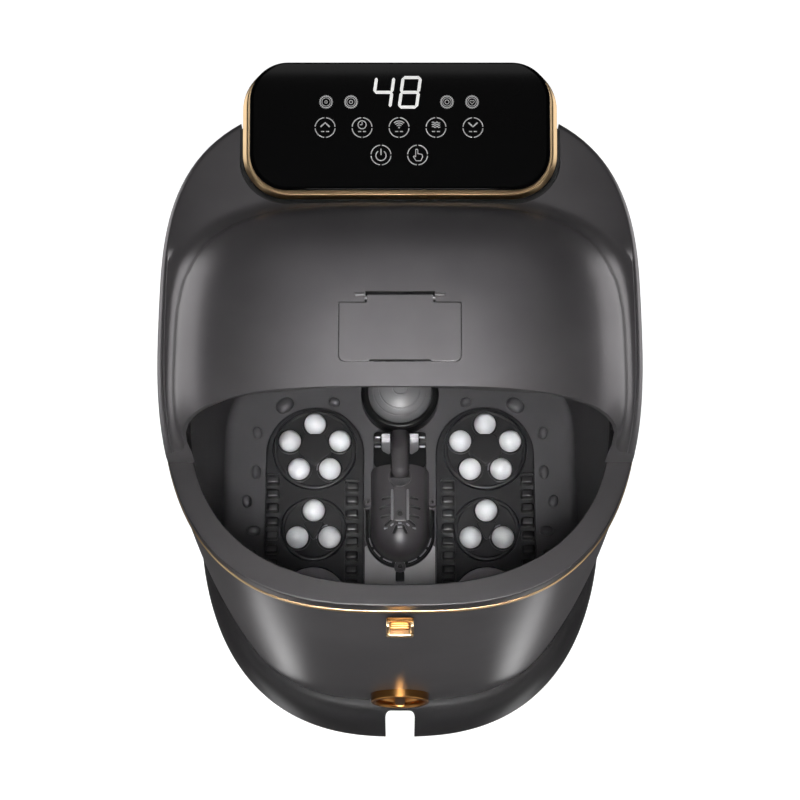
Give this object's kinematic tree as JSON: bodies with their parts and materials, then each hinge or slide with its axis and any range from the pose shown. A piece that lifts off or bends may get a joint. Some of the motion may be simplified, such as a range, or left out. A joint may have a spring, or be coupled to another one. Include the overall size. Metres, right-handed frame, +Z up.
{
  "type": "foot spa basin",
  "caption": "Deep heated foot spa basin with a half cover and hatch, tilted touch panel, driven massage discs with balls, intake cage and drain knob.",
  "frame": {"origin": "on the floor under the centre of the bounding box, midway between the feet", "axes": "+Z up, +Y to the rear where the control panel is, +X to the user's right"},
  "size_m": [0.376, 0.4728, 0.44],
  "materials": {
    "gunmetal": "satin metallic grey moulded plastic",
    "dark_plastic": "dark grey semi-gloss moulded plastic",
    "black_plastic": "black glossy plastic",
    "panel_glass": "polished black glass with light printed symbols",
    "gold_trim": "satin gold plated",
    "ball_white": "smooth white plastic",
    "lamp_silver": "satin silver",
    "gear_plastic": "natural nylon",
    "steel": "plain steel",
    "foot_rubber": "black rubber"
  },
  "bodies": {
    "basin": {"base_skirt": "gunmetal", "outer_shell": "gunmetal", "rim_ring": "gunmetal", "inner_tub": "dark_plastic", "base_plate": "dark_plastic", "foot_plate_left": "dark_plastic", "foot_plate_right": "dark_plastic", "intake_cage": "dark_plastic", "cage_flange": "dark_plastic", "pipe_bracket": "dark_plastic", "feed_pipe": "dark_plastic", "drain_valve": "dark_plastic", "panel_housing": "black_plastic", "lamp_bezel": "black_plastic", "circulation_pump": "black_plastic", "power_inlet": "black_plastic", "panel_glass": "panel_glass", "gold_trim_band": "gold_trim", "drain_bezel": "gold_trim", "panel_trim_ring": "gold_trim", "rubber_foot_front_left": "foot_rubber", "rubber_foot_front_right": "foot_rubber", "rubber_foot_rear_left": "foot_rubber", "rubber_foot_rear_right": "foot_rubber", "lamp_lens": "lamp_silver", "heel_pad_left": "lamp_silver", "heel_pad_right": "lamp_silver", "massage_motor_left": "steel", "massage_motor_right": "steel", "water_heater": "steel"},
    "clasp": {"front_clasp": "gold_trim"},
    "knob": {"drain_knob": "gold_trim"},
    "cover": {"half_cover": "gunmetal", "hatch_pin": "steel"},
    "hatch": {"hatch_door": "gunmetal"},
    "arch_disc_left": {"arch_disc_left": "dark_plastic", "arch_gear_left": "gear_plastic"},
    "arch_ball_1_left": {"arch_ball_1_left": "ball_white"},
    "arch_ball_2_left": {"arch_ball_2_left": "ball_white"},
    "arch_ball_3_left": {"arch_ball_3_left": "ball_white"},
    "arch_ball_4_left": {"arch_ball_4_left": "ball_white"},
    "arch_ball_5_left": {"arch_ball_5_left": "ball_white"},
    "mid_disc_left": {"mid_disc_left": "dark_plastic", "mid_gear_left": "gear_plastic"},
    "mid_ball_1_left": {"mid_ball_1_left": "ball_white"},
    "mid_ball_2_left": {"mid_ball_2_left": "ball_white"},
    "mid_ball_3_left": {"mid_ball_3_left": "ball_white"},
    "arch_disc_right": {"arch_disc_right": "dark_plastic", "arch_gear_right": "gear_plastic"},
    "arch_ball_1_right": {"arch_ball_1_right": "ball_white"},
    "arch_ball_2_right": {"arch_ball_2_right": "ball_white"},
    "arch_ball_3_right": {"arch_ball_3_right": "ball_white"},
    "arch_ball_4_right": {"arch_ball_4_right": "ball_white"},
    "arch_ball_5_right": {"arch_ball_5_right": "ball_white"},
    "mid_disc_right": {"mid_disc_right": "dark_plastic", "mid_gear_right": "gear_plastic"},
    "mid_ball_1_right": {"mid_ball_1_right": "ball_white"},
    "mid_ball_2_right": {"mid_ball_2_right": "ball_white"},
    "mid_ball_3_right": {"mid_ball_3_right": "ball_white"}
  },
  "joints": [
    {"name": "clasp_swing", "type": "hinge", "parent": "basin", "child": "clasp", "pos_m": [0, -0.2126, 0.3455], "axis": [-1, 0, 0], "range_deg": [0, 30], "stiffness_Nm_per_rad": 0.05},
    {"name": "knob_turn", "type": "hinge", "parent": "basin", "child": "knob", "pos_m": [0, -0.222, 0.088], "axis": [0, -1, 0], "range_deg": [0, 90]},
    {"name": "cover_lift", "type": "slide", "parent": "basin", "child": "cover", "axis": [0, 0, 1], "range_m": [0, 0.1]},
    {"name": "hatch_swing", "type": "hinge", "parent": "cover", "child": "hatch", "pos_m": [0, 0.014, 0.4362], "axis": [-1, 0, 0], "range_deg": [0, 100]},
    {"name": "arch_spin_left", "type": "hinge", "parent": "basin", "child": "arch_disc_left", "pos_m": [-0.078, 0.0124, 0.086], "axis": [0, 0, 1], "continuous": true},
    {"name": "arch_ball_1_left_roll", "type": "hinge", "parent": "arch_disc_left", "child": "arch_ball_1_left", "pos_m": [-0.078, 0.0364, 0.0871], "axis": [0, 1, 0], "continuous": true},
    {"name": "arch_ball_2_left_roll", "type": "hinge", "parent": "arch_disc_left", "child": "arch_ball_2_left", "pos_m": [-0.10082, 0.01982, 0.0871], "axis": [-0.9511, 0.309, 0], "continuous": true},
    {"name": "arch_ball_3_left_roll", "type": "hinge", "parent": "arch_disc_left", "child": "arch_ball_3_left", "pos_m": [-0.09211, -0.00702, 0.0871], "axis": [-0.5878, -0.809, 0], "continuous": true},
    {"name": "arch_ball_4_left_roll", "type": "hinge", "parent": "arch_disc_left", "child": "arch_ball_4_left", "pos_m": [-0.06389, -0.00702, 0.0871], "axis": [0.5878, -0.809, 0], "continuous": true},
    {"name": "arch_ball_5_left_roll", "type": "hinge", "parent": "arch_disc_left", "child": "arch_ball_5_left", "pos_m": [-0.05518, 0.01982, 0.0871], "axis": [0.9511, 0.309, 0], "continuous": true},
    {"name": "mid_spin_left", "type": "hinge", "parent": "basin", "child": "mid_disc_left", "pos_m": [-0.078, -0.0632, 0.086], "axis": [0, 0, 1], "continuous": true},
    {"name": "mid_ball_1_left_roll", "type": "hinge", "parent": "mid_disc_left", "child": "mid_ball_1_left", "pos_m": [-0.078, -0.0464, 0.0871], "axis": [0, 1, 0], "continuous": true},
    {"name": "mid_ball_2_left_roll", "type": "hinge", "parent": "mid_disc_left", "child": "mid_ball_2_left", "pos_m": [-0.09255, -0.0716, 0.0871], "axis": [-0.866, -0.5, 0], "continuous": true},
    {"name": "mid_ball_3_left_roll", "type": "hinge", "parent": "mid_disc_left", "child": "mid_ball_3_left", "pos_m": [-0.06345, -0.0716, 0.0871], "axis": [0.866, -0.5, 0], "continuous": true},
    {"name": "arch_spin_right", "type": "hinge", "parent": "basin", "child": "arch_disc_right", "pos_m": [0.078, 0.0124, 0.086], "axis": [0, 0, 1], "continuous": true},
    {"name": "arch_ball_1_right_roll", "type": "hinge", "parent": "arch_disc_right", "child": "arch_ball_1_right", "pos_m": [0.078, 0.0364, 0.0871], "axis": [0, 1, 0], "continuous": true},
    {"name": "arch_ball_2_right_roll", "type": "hinge", "parent": "arch_disc_right", "child": "arch_ball_2_right", "pos_m": [0.05518, 0.01982, 0.0871], "axis": [-0.9511, 0.309, 0], "continuous": true},
    {"name": "arch_ball_3_right_roll", "type": "hinge", "parent": "arch_disc_right", "child": "arch_ball_3_right", "pos_m": [0.06389, -0.00702, 0.0871], "axis": [-0.5878, -0.809, 0], "continuous": true},
    {"name": "arch_ball_4_right_roll", "type": "hinge", "parent": "arch_disc_right", "child": "arch_ball_4_right", "pos_m": [0.09211, -0.00702, 0.0871], "axis": [0.5878, -0.809, 0], "continuous": true},
    {"name": "arch_ball_5_right_roll", "type": "hinge", "parent": "arch_disc_right", "child": "arch_ball_5_right", "pos_m": [0.10082, 0.01982, 0.0871], "axis": [0.9511, 0.309, 0], "continuous": true},
    {"name": "mid_spin_right", "type": "hinge", "parent": "basin", "child": "mid_disc_right", "pos_m": [0.078, -0.0632, 0.086], "axis": [0, 0, 1], "continuous": true},
    {"name": "mid_ball_1_right_roll", "type": "hinge", "parent": "mid_disc_right", "child": "mid_ball_1_right", "pos_m": [0.078, -0.0464, 0.0871], "axis": [0, 1, 0], "continuous": true},
    {"name": "mid_ball_2_right_roll", "type": "hinge", "parent": "mid_disc_right", "child": "mid_ball_2_right", "pos_m": [0.06345, -0.0716, 0.0871], "axis": [-0.866, -0.5, 0], "continuous": true},
    {"name": "mid_ball_3_right_roll", "type": "hinge", "parent": "mid_disc_right", "child": "mid_ball_3_right", "pos_m": [0.09255, -0.0716, 0.0871], "axis": [0.866, -0.5, 0], "continuous": true}
  ],
  "couplings": [
    {"joint": "mid_spin_left", "follows": "arch_spin_left", "ratio": -1.4},
    {"joint": "mid_spin_right", "follows": "arch_spin_right", "ratio": -1.4}
  ]
}
